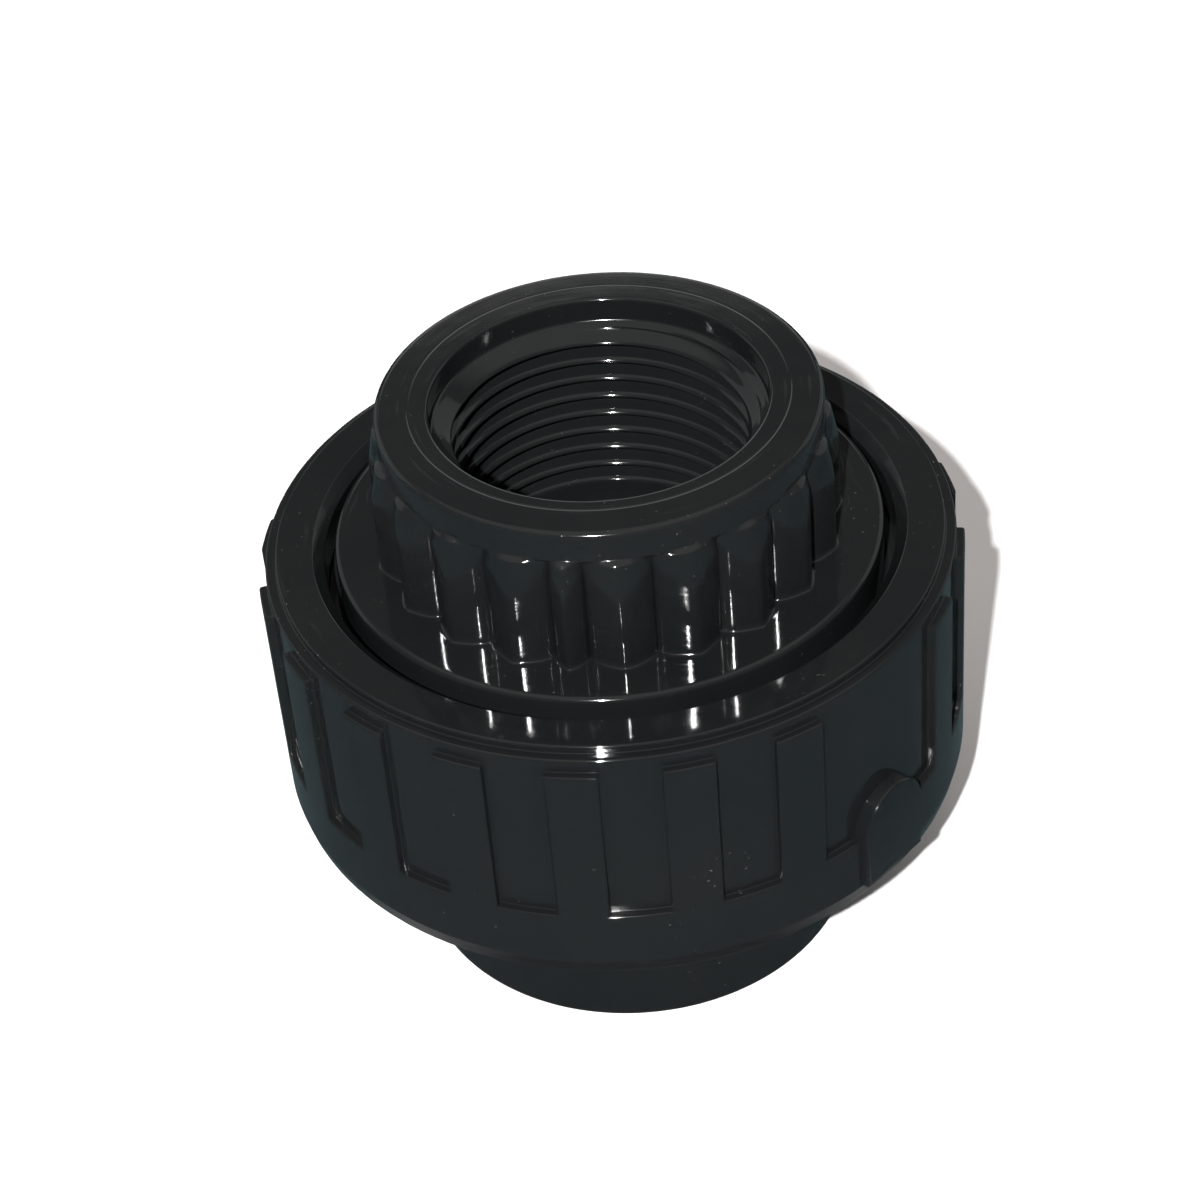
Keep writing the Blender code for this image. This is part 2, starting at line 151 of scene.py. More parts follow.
# How finely the skins are cut, and shaded
SHARP_DEG = 38.0                    # edges that turn more than this stay sharp
BODY_COLUMN_DEG = 1.875
SEAL_COLUMN_DEG = 2.5
SEAL_STEPS = 32

# Where the lamps stand, and how large they are, in metres
AIM = Vector((0.0, 0.0, 30.0 * MM))
KEY_PLACE = (-0.055, -0.36, 0.345)
KEY_SIZE = 9.0 * MM
SIDE_REACH = (0.75, 0.60, 0.32)     # the right one, and the left one is its mirror
SIDE_SIZE = 0.80
BACK_PLACE = (0.0, 0.90, 0.34)
BACK_SIZE = 0.50
OVERHEAD_PLACE = (0.0, -0.1, 1.3)
OVERHEAD_SIZE = 1.0
OVERHEAD_COLOUR = (1.0, 0.91, 0.87)
FLOOR_HALF = 2.5


# ---------------------------------------------------------------- settings


class ConnectorSettings(bpy.types.PropertyGroup):
    rib_count: IntProperty(
        name="Full Ribs", description="Ribs at the full pitch", default=20, min=6, max=40)
    narrow_rib_deg: FloatProperty(
        name="Narrow Rib", description="Angle that the one narrow rib takes, in degrees",
        default=9.0)
    narrow_rib_at_deg: FloatProperty(
        name="Narrow Rib Place", description="Degrees to the right of the front", default=-12.0)
    ring_round: FloatProperty(
        name="Ring Rounding", description="Rounding of the outer edge of the top ring",
        default=0.50 * MM, unit="LENGTH", precision=6)


class NutSettings(bpy.types.PropertyGroup):
    block_deg: FloatProperty(
        name="Block Width", description="Angle that one raised block takes, in degrees",
        default=8.3)
    edge_round: FloatProperty(
        name="Edge Rounding", description="Rounding of the stepped upper edge",
        default=0.17 * MM, unit="LENGTH", precision=6)
    rim_taper: FloatProperty(
        name="Rim Taper", description="Height of the slight taper at the lower edge",
        default=1.45 * MM, unit="LENGTH", precision=6)
    pad_width: FloatProperty(
        name="Pad Width", description="Width of the arch-topped pad",
        default=7.0 * MM, unit="LENGTH", precision=6)
    pad_height: FloatProperty(
        name="Pad Height", description="Height of the arch-topped pad",
        default=8.9 * MM, unit="LENGTH", precision=6)


class BodySettings(bpy.types.PropertyGroup):
    edge_round: FloatProperty(
        name="Edge Rounding", description="Rounding of the foot of the socket collar",
        default=0.40 * MM, unit="LENGTH", precision=6)


class SealSettings(bpy.types.PropertyGroup):
    flash_line: FloatProperty(
        name="Parting Line", description="Height of the moulding line round the O-ring",
        default=0.04 * MM, unit="LENGTH", precision=6)


class FinishSettings(bpy.types.PropertyGroup):
    plastic_colour: FloatVectorProperty(
        name="Plastic", description="Colour of the moulded plastic", subtype="COLOR",
        size=3, default=(0.0050, 0.0060, 0.0063), min=0.0, max=1.0)
    plastic_tint: FloatVectorProperty(
        name="Plastic Variation", description="Colour in the lighter patches", subtype="COLOR",
        size=3, default=(0.0066, 0.0070, 0.0072), min=0.0, max=1.0)
    rubber_colour: FloatVectorProperty(
        name="Rubber", description="Colour of the O-ring", subtype="COLOR",
        size=3, default=(0.006, 0.006, 0.006), min=0.0, max=1.0)
    gloss_roughness: FloatProperty(
        name="Gloss Roughness", description="Roughness of a clean moulded face",
        default=0.065, min=0.0, max=1.0, subtype="FACTOR")


class StageSettings(bpy.types.PropertyGroup):
    floor_colour: FloatVectorProperty(
        name="Floor", description="Colour of the plain floor", subtype="COLOR",
        size=3, default=(0.92, 0.915, 0.91), min=0.0, max=1.0)
    key_power: FloatProperty(
        name="Key Light", description="Power of the small light beside the camera",
        default=5.6, unit="POWER")
    soft_power: FloatProperty(
        name="Soft Light", description="Power of each large light behind",
        default=0.60, unit="POWER")
    overhead_power: FloatProperty(
        name="Overhead Light", description="Power of the wide light overhead",
        default=3.0, unit="POWER")
    sky_strength: FloatProperty(
        name="Surroundings", description="Strength of the light from all round", default=1.0)


# ---------------------------------------------------------------- outlines


def rounded(corners, arc_steps=4):
    """Points along (across, height, rounding) corners. Each rounding is an arc with a guard
    point just past each end, which keeps the flat faces beside it flat to the light."""
    points = []
    for i, (across, height, rounding) in enumerate(corners):
        here = Vector((across, height))
        if rounding <= 0.0 or i in (0, len(corners) - 1):
            points.append(here)
            continue
        before = (Vector(corners[i - 1][:2]) - here).normalized()
        after = (Vector(corners[i + 1][:2]) - here).normalized()
        half = before.angle(after) / 2.0
        cut = rounding / math.tan(half)
        centre = here + (before + after).normalized() * (rounding / math.sin(half))
        start = here + before * cut - centre
        turn = math.pi - 2.0 * half
        side = 1.0 if before.x * after.y - before.y * after.x > 0.0 else -1.0
        guard = rounding * 0.3
        points.append(here + before * (cut + guard))
        for k in range(arc_steps + 1):
            spin = Matrix.Rotation(-side * turn * k / arc_steps, 2)
            points.append(centre + spin @ start)
        points.append(here + after * (cut + guard))
    return [(point.x, point.y) for point in points]


def step_path(rise, foot, crown, arc_steps=3):
    """(along, share of the rise) pairs up one moulded step, with its foot at 0. The foot and
    the crown are the roundings at the two ends of its wall."""
    lean = rise * math.tan(math.radians(MOULD_DRAFT_DEG))
    reach = (foot + crown) * 2.0
    corners = [(-reach, 0.0, 0.0), (0.0, 0.0, foot), (lean, rise, crown), (reach, rise, 0.0)]
    path = rounded(corners, arc_steps=arc_steps)[1:-1]
    return [(along, height / rise) for along, height in path]


def ease(value):
    """0 to 1 with no corner at either end."""
    clipped = np.clip(value, 0.0, 1.0)
    return clipped * clipped * (3.0 - 2.0 * clipped)


def soft_min(a, b, blend):
    """The lower of two, with the crease between them rounded."""
    share = np.clip(0.5 + 0.5 * (b - a) / blend, 0.0, 1.0)
    return b + (a - b) * share - blend * share * (1.0 - share)


def from_front(degrees):
    """Angle from +X, 0 to 360, of a place so many degrees to the right of the front."""
    return (degrees - 90.0) % 360.0


# ---------------------------------------------------------------- ring skins


class Loop:
    """Rows of a closed loop, each a radius and height for every column round the axis."""

    def __init__(self, angles_deg):
        self.angles = np.radians(np.sort(np.asarray(angles_deg, float) % 360.0))
        self.radii, self.heights, self.joins = [], [], []

    def row(self, radius, height, join=None):
        """One more row. join is the row that it meets where the ring closes, if not itself."""
        count = len(self.angles)
        self.radii.append(np.broadcast_to(np.asarray(radius, float), (count,)))
        self.heights.append(np.broadcast_to(np.asarray(height, float), (count,)))
        self.joins.append(len(self.joins) if join is None else join)

    def rows(self, points):
        """Plain rows, one for each (radius, height) point."""
        for radius, height in points:
            self.row(radius, height)

    def thread(self, low, high, pitch, start, section, radius_of):
        """Rows that climb with a right-hand thread between two heights. The section is
        (place in the pitch, share of the tooth); radius_of(share, height, middle) makes the
        radius. Each row joins itself one turn further up where the ring closes."""
        first = math.floor((low - start) / pitch) - 1
        last = math.ceil((high - start) / pitch)
        base = len(self.joins)
        per_turn = len(section)
        total = (last - first + 1) * per_turn
        climb = self.angles / (2.0 * math.pi)
        for k in range(total):
            place, share = section[k % per_turn]
            middle = start + (first + k // per_turn + climb) * pitch
            height = np.clip(middle + place * pitch, low, high)
            self.row(radius_of(share, height, middle), height,
                     base + min(k + per_turn, total - 1))

    def mesh(self, name):
        """The skin as a mesh, with a UV map in metres: round the axis and along the loop."""
        radii, heights = np.array(self.radii), np.array(self.heights)
        rows, columns = radii.shape
        points = np.stack([radii * np.cos(self.angles), radii * np.sin(self.angles), heights], 2)
        steps = np.hypot(np.diff(radii, axis=0), np.diff(heights, axis=0)).mean(axis=1)
        along = np.concatenate([[0.0], np.cumsum(steps)])
        top, low = np.arange(rows), np.roll(np.arange(rows), -1)
        joins = np.array(self.joins)
        along_low = np.append(along[1:], along[-1] + 1.0 * MM)
        size = radii.mean()
        corners, uvs = [], []
        for column in range(columns):
            after = (column + 1) % columns
            top_after, low_after = (joins, joins[low]) if after == 0 else (top, low)
            quad = np.stack([top * columns + column, low * columns + column,
                             low_after * columns + after, top_after * columns + after], 1)
            here = self.angles[column]
            there = self.angles[after] + (2.0 * math.pi if after == 0 else 0.0)
            corners.append(quad)
            uvs.append(np.stack([np.stack([np.full(rows, place * size), run], 1)
                                 for place, run in ((here, along), (here, along_low),
                                                    (there, along_low), (there, along))], 1))
        mesh = bpy.data.meshes.new(name)
        mesh.from_pydata(points.reshape(-1, 3).tolist(), [], np.concatenate(corners).tolist())
        layer = mesh.uv_layers.new(name="round_and_along")
        layer.data.foreach_set("uv", np.concatenate(uvs).astype(np.float32).ravel())
        shape = bmesh.new()
        shape.from_mesh(mesh)
        bmesh.ops.remove_doubles(shape, verts=shape.verts[:], dist=2e-7)
        bmesh.ops.dissolve_degenerate(shape, edges=shape.edges[:], dist=1e-7)
        bmesh.ops.recalc_face_normals(shape, faces=shape.faces[:])
        shape.to_mesh(mesh)
        shape.free()
        return mesh


def arc_length_deg(length, radius):
    """The angle that a length takes on a circle of this radius."""
    return math.degrees(length / radius)


def place_piece(name, mesh, material, body):
    """Puts a smooth-shaded piece in the scene in place of its frame node."""
    mesh.shade_smooth()
    mesh.set_sharp_from_angle(angle=math.radians(SHARP_DEG))
    piece = bpy.data.objects.new(name, mesh)
    bpy.context.scene.collection.objects.link(piece)
    mesh.materials.clear()
    mesh.materials.append(material)
    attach(piece, body)
    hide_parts(body)


# ---------------------------------------------------------------- finishes


class Nodes:
    """Short ways to add nodes to a material and join them."""

    def __init__(self, name):
        self.material = bpy.data.materials.new(name)
        self.material.use_nodes = True
        self.tree = self.material.node_tree
        self.shader = self.tree.nodes["Principled BSDF"]
        self.place = self.tree.nodes.new("ShaderNodeTexCoord").outputs["Object"]
        self.uv = self.tree.nodes.new("ShaderNodeUVMap")
        self.uv.uv_map = "round_and_along"

    def link(self, source, target):
        self.tree.links.new(source, target)

    def stretched(self, source, scale):
        node = self.tree.nodes.new("ShaderNodeMapping")
        node.inputs["Scale"].default_value = scale
        self.link(source, node.inputs["Vector"])
        return node.outputs["Vector"]

    def noise(self, source, scale, detail=3.0, roughness=0.5):
        node = self.tree.nodes.new("ShaderNodeTexNoise")
        node.inputs["Scale"].default_value = scale
        node.inputs["Detail"].default_value = detail
        node.inputs["Roughness"].default_value = roughness
        self.link(source, node.inputs["Vector"])
        return node.outputs["Fac"]

    def remap(self, source, low, high, to_low, to_high):
        node = self.tree.nodes.new("ShaderNodeMapRange")
        for key, value in (("From Min", low), ("From Max", high),
                           ("To Min", to_low), ("To Max", to_high)):
            node.inputs[key].default_value = value
        self.link(source, node.inputs["Value"])
        return node.outputs["Result"]

    def math(self, operation, first, second):
        node = self.tree.nodes.new("ShaderNodeMath")
        node.operation = operation
        for socket, value in zip(node.inputs, (first, second)):
            if isinstance(value, (int, float)):
                socket.default_value = value
            else:
                self.link(value, socket)
        return node.outputs["Value"]

    def mix(self, share, first, second):
        node = self.tree.nodes.new("ShaderNodeMix")
        node.data_type = "RGBA"
        self.link(share, node.inputs["Factor"])
        for key, value in (("A", first), ("B", second)):
            socket = next(s for s in node.inputs if s.name == key and s.type == "RGBA")
            if isinstance(value, tuple):
                socket.default_value = (*value, 1.0)
            else:
                self.link(value, socket)
        return next(s for s in node.outputs if s.type == "RGBA")

    def bump(self, height, depth, before=None):
        node = self.tree.nodes.new("ShaderNodeBump")
        node.inputs["Strength"].default_value = 1.0
        node.inputs["Distance"].default_value = depth
        self.link(height, node.inputs["Height"])
        if before is not None:
            self.link(before, node.inputs["Normal"])
        return node.outputs["Normal"]


def moulded_plastic(name, finish, gloss_share=1.0, index=1.52):
    """Glossy injection-moulded plastic: faint flow patches, slow waves in the gloss, fine
    handling marks, and a little dust."""
    colour, tint = tuple(finish.plastic_colour), tuple(finish.plastic_tint)
    gloss = finish.gloss_roughness * gloss_share
    made = Nodes(name)
    shader = made.shader
    patches = made.noise(made.place, 62.0, 2.0)
    flow = made.noise(made.stretched(made.uv.outputs["UV"], (260.0, 28.0, 1.0)), 1.0, 3.0)
    both = made.math("ADD", made.math("MULTIPLY", patches, 0.6), made.math("MULTIPLY", flow, 0.4))
    body_colour = made.mix(made.remap(both, 0.36, 0.64, 0.0, 1.0), colour, tint)
    specks = made.noise(made.place, 2600.0, 2.0, 0.6)
    dust = made.remap(specks, 0.70, 0.76, 0.0, 1.0)
    settled = made.math("MULTIPLY", dust, made.remap(patches, 0.45, 0.7, 0.0, 0.6))
    made.link(made.mix(settled, body_colour, (0.11, 0.105, 0.10)), shader.inputs["Base Color"])
    marks = made.noise(made.stretched(made.uv.outputs["UV"], (150.0, 2600.0, 1.0)), 1.0, 2.0)
    rubbed = made.remap(marks, 0.60, 0.72, 0.0, 0.10)
    cloudy = made.remap(patches, 0.35, 0.70, gloss * 0.8, gloss * 1.7)
    roughness = made.math("ADD", made.math("ADD", cloudy, rubbed),
                          made.math("MULTIPLY", settled, 0.35))
    made.link(roughness, shader.inputs["Roughness"])
    waves = made.bump(made.noise(made.place, 260.0, 1.0), 0.016 * MM)
    grain = made.bump(made.noise(made.place, 5200.0, 2.0), 0.0012 * MM, waves)
    rings = made.noise(made.stretched(made.place, (70.0, 70.0, 2300.0)), 1.0, 1.0)
    ringed = made.bump(rings, 0.0045 * MM, grain)
    made.link(made.bump(marks, 0.0016 * MM, ringed), shader.inputs["Normal"])
    shader.inputs["IOR"].default_value = index
    return made.material


def seal_rubber(name, colour):
    """Smooth black rubber with a fine dry bloom."""
    made = Nodes(name)
    shader = made.shader
    bloom = made.noise(made.place, 420.0, 4.0, 0.6)
    made.link(made.mix(made.remap(bloom, 0.4, 0.7, 0.0, 1.0), colour, (0.028, 0.028, 0.027)),
              shader.inputs["Base Color"])
    made.link(made.remap(bloom, 0.3, 0.7, 0.42, 0.62), shader.inputs["Roughness"])
    made.link(made.bump(made.noise(made.place, 3800.0, 3.0), 0.003 * MM), shader.inputs["Normal"])
    shader.inputs["IOR"].default_value = 1.50
    return made.material


def stage_paint(name, colour):
    """A matt pale floor with a barely seen unevenness."""
    made = Nodes(name)
    soft = made.noise(made.place, 6.0, 2.0)
    darker = tuple(channel * 0.985 for channel in colour)
    made.link(made.mix(soft, colour, darker), made.shader.inputs["Base Color"])
    made.shader.inputs["Roughness"].default_value = 0.9
    made.shader.inputs["Specular IOR Level"].default_value = 0.1
    return made.material


# ---------------------------------------------------------------- threads


PIPE_STEPS = 11
PIPE_SECTION = [(k / PIPE_STEPS, 0.5 - 0.5 * math.cos(2.0 * math.pi * k / PIPE_STEPS))
                for k in range(PIPE_STEPS)]


def union_section(crest_half, depth):
    """One pitch of the coarse union thread, a rounded trapezoid about the tooth's middle."""
    base_half = crest_half + depth * UNION_FLANK_SLOPE
    half = UNION_PITCH / 2.0
    edge = 0.22 * MM
    corners = [(-half, 0.0, 0.0), (-base_half, 0.0, edge), (-crest_half, depth, edge),
               (crest_half, depth, edge), (base_half, 0.0, edge), (half, 0.0, 0.0)]
    path = rounded(corners, arc_steps=1)[:-1]
    return [(along / UNION_PITCH, height / depth) for along, height in path]


# ---------------------------------------------------------------- end connector


def rib_columns(settings):
    """Angles of the columns, and for each how far across its rib it stands, -1 to 1."""
    full = (360.0 - settings.narrow_rib_deg) / settings.rib_count
    start = from_front(settings.narrow_rib_at_deg) - settings.narrow_rib_deg / 2.0
    angles, across = [], []
    half = (0.0, 0.08, 0.18, 0.34, 0.54, 0.74, 0.88, 0.96)
    places = [-1.0] + [-place for place in half[:0:-1]] + list(half)
    for width in [settings.narrow_rib_deg] + [full] * settings.rib_count:
        for place in places:
            angles.append((start + width * (place + 1.0) / 2.0) % 360.0)
            across.append(place)
        start += width
    order = np.argsort(angles)
    return np.array(angles)[order], np.array(across)[order]


def rib_rises(across):
    """Shares of the full rise across a rib: ridge, sloping top, and rounded nose."""
    away = np.abs(across)
    round_off = 0.12
    spread = (np.sqrt(across ** 2 + round_off ** 2) - round_off) \
        / (math.sqrt(1.0 + round_off ** 2) - round_off)
    ridge = 1.0 - 0.74 * spread - 0.26 * away ** 9
    shield = 1.0 - 0.42 * spread - 0.58 * away ** 7
    nose = np.clip(1.0 - 1.35 * across ** 2, 0.0, 1.0)
    return ridge, shield, nose


def end_face_rows(loop, seam, ring_round):
    """Top face with its fine witness line, then the rounded outer edge of the ring."""
    away = loop.angles - math.radians(from_front(WITNESS_AT_DEG))
    witness = WITNESS_RADIUS - WITNESS_OFFSET * np.cos(away)
    for offset, sink in ((-0.16, 0.0), (-0.07, 0.0), (-0.02, 0.025), (0.03, 0.025), (0.08, 0.0),
                         (0.17, 0.0)):
        loop.row(witness + offset * MM, CONNECTOR_TOP - sink * MM)
    edge = rounded([(RING_EDGE - 1.5 * MM, CONNECTOR_TOP, 0.0),
                    (RING_EDGE, CONNECTOR_TOP, ring_round),
                    (RING_EDGE, RIB_SHOULDER - 1.0 * MM, 0.0)], arc_steps=7)
    for radius, height in edge[1:-1]:
        loop.row(radius + seam, height)


def rib_rows(loop, seam, across):
    """Ribs: a small sloping shoulder, a steep slope, then upright ridges down to the collar.
    Gives back the radius of the ridges."""
    ridge, shield, nose = rib_rises(across)
    reach = RIB_CREST - RIB_VALLEY
    limit = rounded([(RING_EDGE, RIB_SHOULDER + 0.40 * MM, 0.0),
                     (RING_EDGE, RIB_SHOULDER + 0.16 * MM, 0.10 * MM),
                     (RING_EDGE + 0.54 * MM, RIB_SHOULDER - 0.16 * MM, 0.18 * MM),
                     (RIB_CREST + 0.02 * MM, RIB_SHOULDER - 3.1 * MM, 0.0),
                     (RIB_CREST + 0.50 * MM, RIB_SHOULDER - 4.5 * MM, 0.0)], arc_steps=3)
    limit_r, limit_z = np.array(limit).T
    heights = np.unique(np.concatenate([
        limit_z[1:-2], np.linspace(RIB_SHOULDER + 0.25 * MM, RIB_SHOULDER - 3.6 * MM, 28),
        np.linspace(RIB_SHOULDER - 4.2 * MM, COLLAR_TOP + 0.6 * MM, 5)]))[::-1]
    order = np.argsort(limit_z, kind="stable")
    for height in heights:
        stand = np.interp(height, limit_z[order], limit_r[order]) - RING_EDGE
        fullness = ease((RIB_SHOULDER - 0.4 * MM - height) / (1.6 * MM))
        slope = (RING_EDGE - RIB_VALLEY) * shield + stand * (nose + (shield - nose) * fullness)
        skin = RIB_VALLEY + soft_min(reach * ridge, slope, 0.07 * MM) + seam
        fall = ease((RIB_SHOULDER + 0.05 * MM - height) / (0.35 * MM))
        wall = RING_EDGE - (RING_EDGE - RIB_VALLEY) * fall + seam
        loop.row(np.maximum(skin, wall), height)
    return RIB_VALLEY + reach * ridge + seam


def collar_rows(loop, lobe):
    """The hollow foot of the ribs, then the collar: flat top, rolled edge, upright side."""
    for k in range(1, 6):
        lean = math.pi / 2.0 * k / 5.0
        loop.row(lobe + RIB_FOOT_ROUND * (1.0 - math.cos(lean)),
                 COLLAR_TOP + RIB_FOOT_ROUND * (1.0 - math.sin(lean)))
    flat_edge = COLLAR_EDGE - COLLAR_ROLL
    for share in (0.06, 0.5, 0.97):
        loop.row((lobe + RIB_FOOT_ROUND) * (1.0 - share) + flat_edge * share, COLLAR_TOP)
    for k in range(8):
        lean = math.pi / 2.0 * k / 7.0
        loop.row(flat_edge + COLLAR_ROLL * math.sin(lean),
                 COLLAR_TOP - COLLAR_ROLL_DROP * (1.0 - math.cos(lean)))


def flange_rows(loop):
    """The flange under the lip of the nut, the groove of the seal, and up the waterway."""
    loop.rows(rounded([
        (COLLAR_EDGE, COLLAR_TOP - 1.2 * MM, 0.0), (COLLAR_EDGE, FLANGE_TOP, 0.25 * MM),
        (FLANGE_EDGE, FLANGE_TOP, 0.35 * MM), (FLANGE_EDGE, FLANGE_FACE, 0.35 * MM),
        (GROOVE_OUTER, FLANGE_FACE, 0.12 * MM), (GROOVE_OUTER, GROOVE_ROOF, 0.15 * MM),
        (GROOVE_INNER, GROOVE_ROOF, 0.15 * MM), (GROOVE_INNER, FLANGE_FACE, 0.12 * MM),
        (WATERWAY, FLANGE_FACE, 0.25 * MM), (WATERWAY, THREAD_FLOOR - 0.4 * MM, 0.2 * MM),
        (THREAD_CREST, THREAD_FLOOR, 0.2 * MM), (THREAD_CREST, THREAD_FLOOR + 0.6 * MM, 0.0)],
        arc_steps=2))


def pipe_thread_rows(loop):
    """The pipe thread, opened by the entry cone, then the counterbore."""
    low, high = THREAD_FLOOR + 0.7 * MM, COUNTERBORE_FLOOR
    first_groove = THREAD_FLOOR + 1.1 * MM
    cone_height = 0.9 * MM

    def pipe_radius(share, height, middle):
        fade = ease((middle - first_groove) / (0.5 * PIPE_PITCH))
        thread = THREAD_CREST + (THREAD_ROOT - THREAD_CREST) * share * fade
        rise = np.clip((height - (high - cone_height)) / cone_height, 0.0, 1.0)
        cone = THREAD_CREST - 0.3 * MM + (COUNTERBORE - THREAD_CREST - 0.1 * MM) * rise
        return np.maximum(thread, cone)

    loop.thread(low, high, PIPE_PITCH, PIPE_TOOTH_START, PIPE_SECTION, pipe_radius)
    loop.rows(rounded([
        (COUNTERBORE - 0.4 * MM, high, 0.0), (COUNTERBORE, high + 0.18 * MM, 0.28 * MM),
        (COUNTERBORE, CONNECTOR_TOP, 0.28 * MM),
        (COUNTERBORE + 1.0 * MM, CONNECTOR_TOP, 0.0)], arc_steps=6)[:-1])


def connector_loop(settings):
    """The end connector, from its end face down the outside and back up the bore."""
    angles, across = rib_columns(settings)
    loop = Loop(angles)
    seam_at = math.radians(from_front(settings.narrow_rib_at_deg))
    seam = SEAM_RISE * np.exp(-(((loop.angles - seam_at) / math.radians(SEAM_HALF_DEG)) ** 2))
    end_face_rows(loop, seam, settings.ring_round)
    collar_rows(loop, rib_rows(loop, seam, across))
    flange_rows(loop)
    pipe_thread_rows(loop)
    return loop


# ---------------------------------------------------------------- union nut


def nut_columns(settings):
    """Angles of the columns and the share of a raised block that each carries."""
    pitch = 360.0 / BLOCK_PLACES
    path = step_path(BLOCK_RISE, 0.06 * MM, 0.11 * MM, arc_steps=1)
    half = settings.block_deg / 2.0
    gap = pitch / 2.0 - half
    columns = {}
    for i in range(BLOCK_PLACES):
        middle = pitch * (i + 0.5)
        raised = abs((middle - PAD_AT_DEG + 180.0) % 360.0 - 180.0) > 1.0
        if raised:
            for along, share in path:
                aside = half - arc_length_deg(along, RECESS_FLOOR)
                for side in (-1.0, 1.0):
                    columns[round(from_front(middle + side * aside), 6)] = share
        for share in (-0.6, 0.0, 0.6):
            columns[round(from_front(middle + half * share), 6)] = 1.0 if raised else 0.0
            columns[round(from_front(middle + pitch / 2.0 + gap * share), 6)] = 0.0
    for aside in (-3.9, -2.6, 2.6, 3.9):
        columns[round(from_front(PAD_AT_DEG + aside), 6)] = 0.0
    angles = sorted(columns)
    return np.array(angles), np.array([columns[angle] for angle in angles])


def nut_outside_rows(loop, block, settings):
    """The stepped upper edge, the blocks under it and the plain rim they end on."""
    edge = settings.edge_round
    loop.rows(rounded([
        (LIP_BORE + LIP_CHAMFER, NUT_TOP, 0.0), (LEDGE_EDGE, NUT_TOP, edge),
        (LEDGE_EDGE, LEDGE, 0.10 * MM), (RECESS_FLOOR, LEDGE, edge),
        (RECESS_FLOOR, BLOCK_TOP + 0.1 * MM, 0.0)])[1:-1])
    path = step_path(BLOCK_RISE, 0.08 * MM, 0.14 * MM)
    for along, share in path:
        loop.row(RECESS_FLOOR + BLOCK_RISE * block * share, BLOCK_TOP - along)
    for share in (0.02, 0.5, 0.98):
        height = BLOCK_TOP - 0.5 * MM + (RIM_TOP + 1.1 * MM - BLOCK_TOP) * share
        loop.row(RECESS_FLOOR + BLOCK_RISE * block, height)
    for along, share in path:
        loop.row(RECESS_FLOOR + BLOCK_RISE * np.maximum(block, share),
                 RIM_TOP + 0.12 * MM - along)
    loop.rows(rounded([
        (NUT_SIDE, RIM_TOP - 1.2 * MM, 0.0),
        (NUT_SIDE, NUT_FOOT + settings.rim_taper, 0.35 * MM),
        (NUT_SIDE - RIM_INSET, NUT_FOOT, 0.20 * MM),
        (NUT_GROOVE + 0.1 * MM, NUT_FOOT, 0.12 * MM),
        (NUT_GROOVE + 0.06 * MM, NUT_FOOT + 0.5 * MM, 0.0)], arc_steps=6)[:-1])


def nut_inside_rows(loop):
    """The union thread, opened at the foot and run out under the lip, then the lip."""
    low, high = NUT_FOOT + 0.2 * MM, LIP_FLOOR - 0.5 * MM
    groove_half = UNION_CREST_HALF + UNION_FLANK_GAP - UNION_RADIAL_GAP * UNION_FLANK_SLOPE
    section = union_section(groove_half, NUT_GROOVE - NUT_TOOTH)

    def nut_radius(share, height, middle):
        fade = ease((BODY_TOP + 1.2 * MM - middle) / (1.0 * MM))
        thread = NUT_TOOTH + (NUT_GROOVE - NUT_TOOTH) * share * fade
        opening = NUT_GROOVE + 0.06 * MM - np.clip(height - low, 0.0, 4.0 * MM)
        return np.maximum(thread, opening)

    loop.thread(low, high, UNION_PITCH, UNION_TOOTH_START, section, nut_radius)
    loop.rows(rounded([
        (NUT_TOOTH, high + 0.02 * MM, 0.0), (NUT_TOOTH, LIP_FLOOR, 0.2 * MM),
        (LIP_BORE, LIP_FLOOR, 0.15 * MM), (LIP_BORE, NUT_TOP - LIP_CHAMFER, 0.12 * MM),
        (LIP_BORE + LIP_CHAMFER, NUT_TOP, 0.12 * MM), (LEDGE_EDGE, NUT_TOP, 0.0)],
        arc_steps=2)[:-1])


def nut_loop(settings):
    """The union nut without its pad, down the outside and back up the inside."""
    angles, block = nut_columns(settings)
    loop = Loop(angles)
    nut_outside_rows(loop, block, settings)
    nut_inside_rows(loop)
    return loop


def pad_mesh(settings):
    """The arch-topped pad: an upright slab with rounded outer edges."""
    half = settings.pad_width / 2.0
    shoulder = PAD_FOOT + settings.pad_height - half
    outline = [(-half, PAD_FOOT), (half, PAD_FOOT)]
    outline += [(half * math.cos(lean), shoulder + half * math.sin(lean))
                for lean in np.linspace(0.0, math.pi, ARCH_POINTS).tolist()]
    shape = bmesh.new()
    face = shape.faces.new([shape.verts.new((x, -PAD_ROOT, z)) for x, z in outline])
    grown = bmesh.ops.extrude_face_region(shape, geom=[face])
    moved = [item for item in grown["geom"] if isinstance(item, bmesh.types.BMVert)]
    bmesh.ops.translate(shape, verts=moved, vec=(0.0, PAD_ROOT - PAD_FACE, 0.0))
    bmesh.ops.recalc_face_normals(shape, faces=shape.faces[:])
    middle = -(PAD_ROOT + PAD_FACE) / 2.0
    rim = [edge for edge in shape.edges if all(vert.co.y < middle for vert in edge.verts)]
    bmesh.ops.bevel(shape, geom=rim, offset=0.24 * MM, segments=4, profile=0.5, affect="EDGES")
    mesh = bpy.data.meshes.new("pad")
    shape.to_mesh(mesh)
    shape.free()
    mesh.transform(Matrix.Rotation(math.radians(PAD_AT_DEG), 4, "Z"))
    return mesh


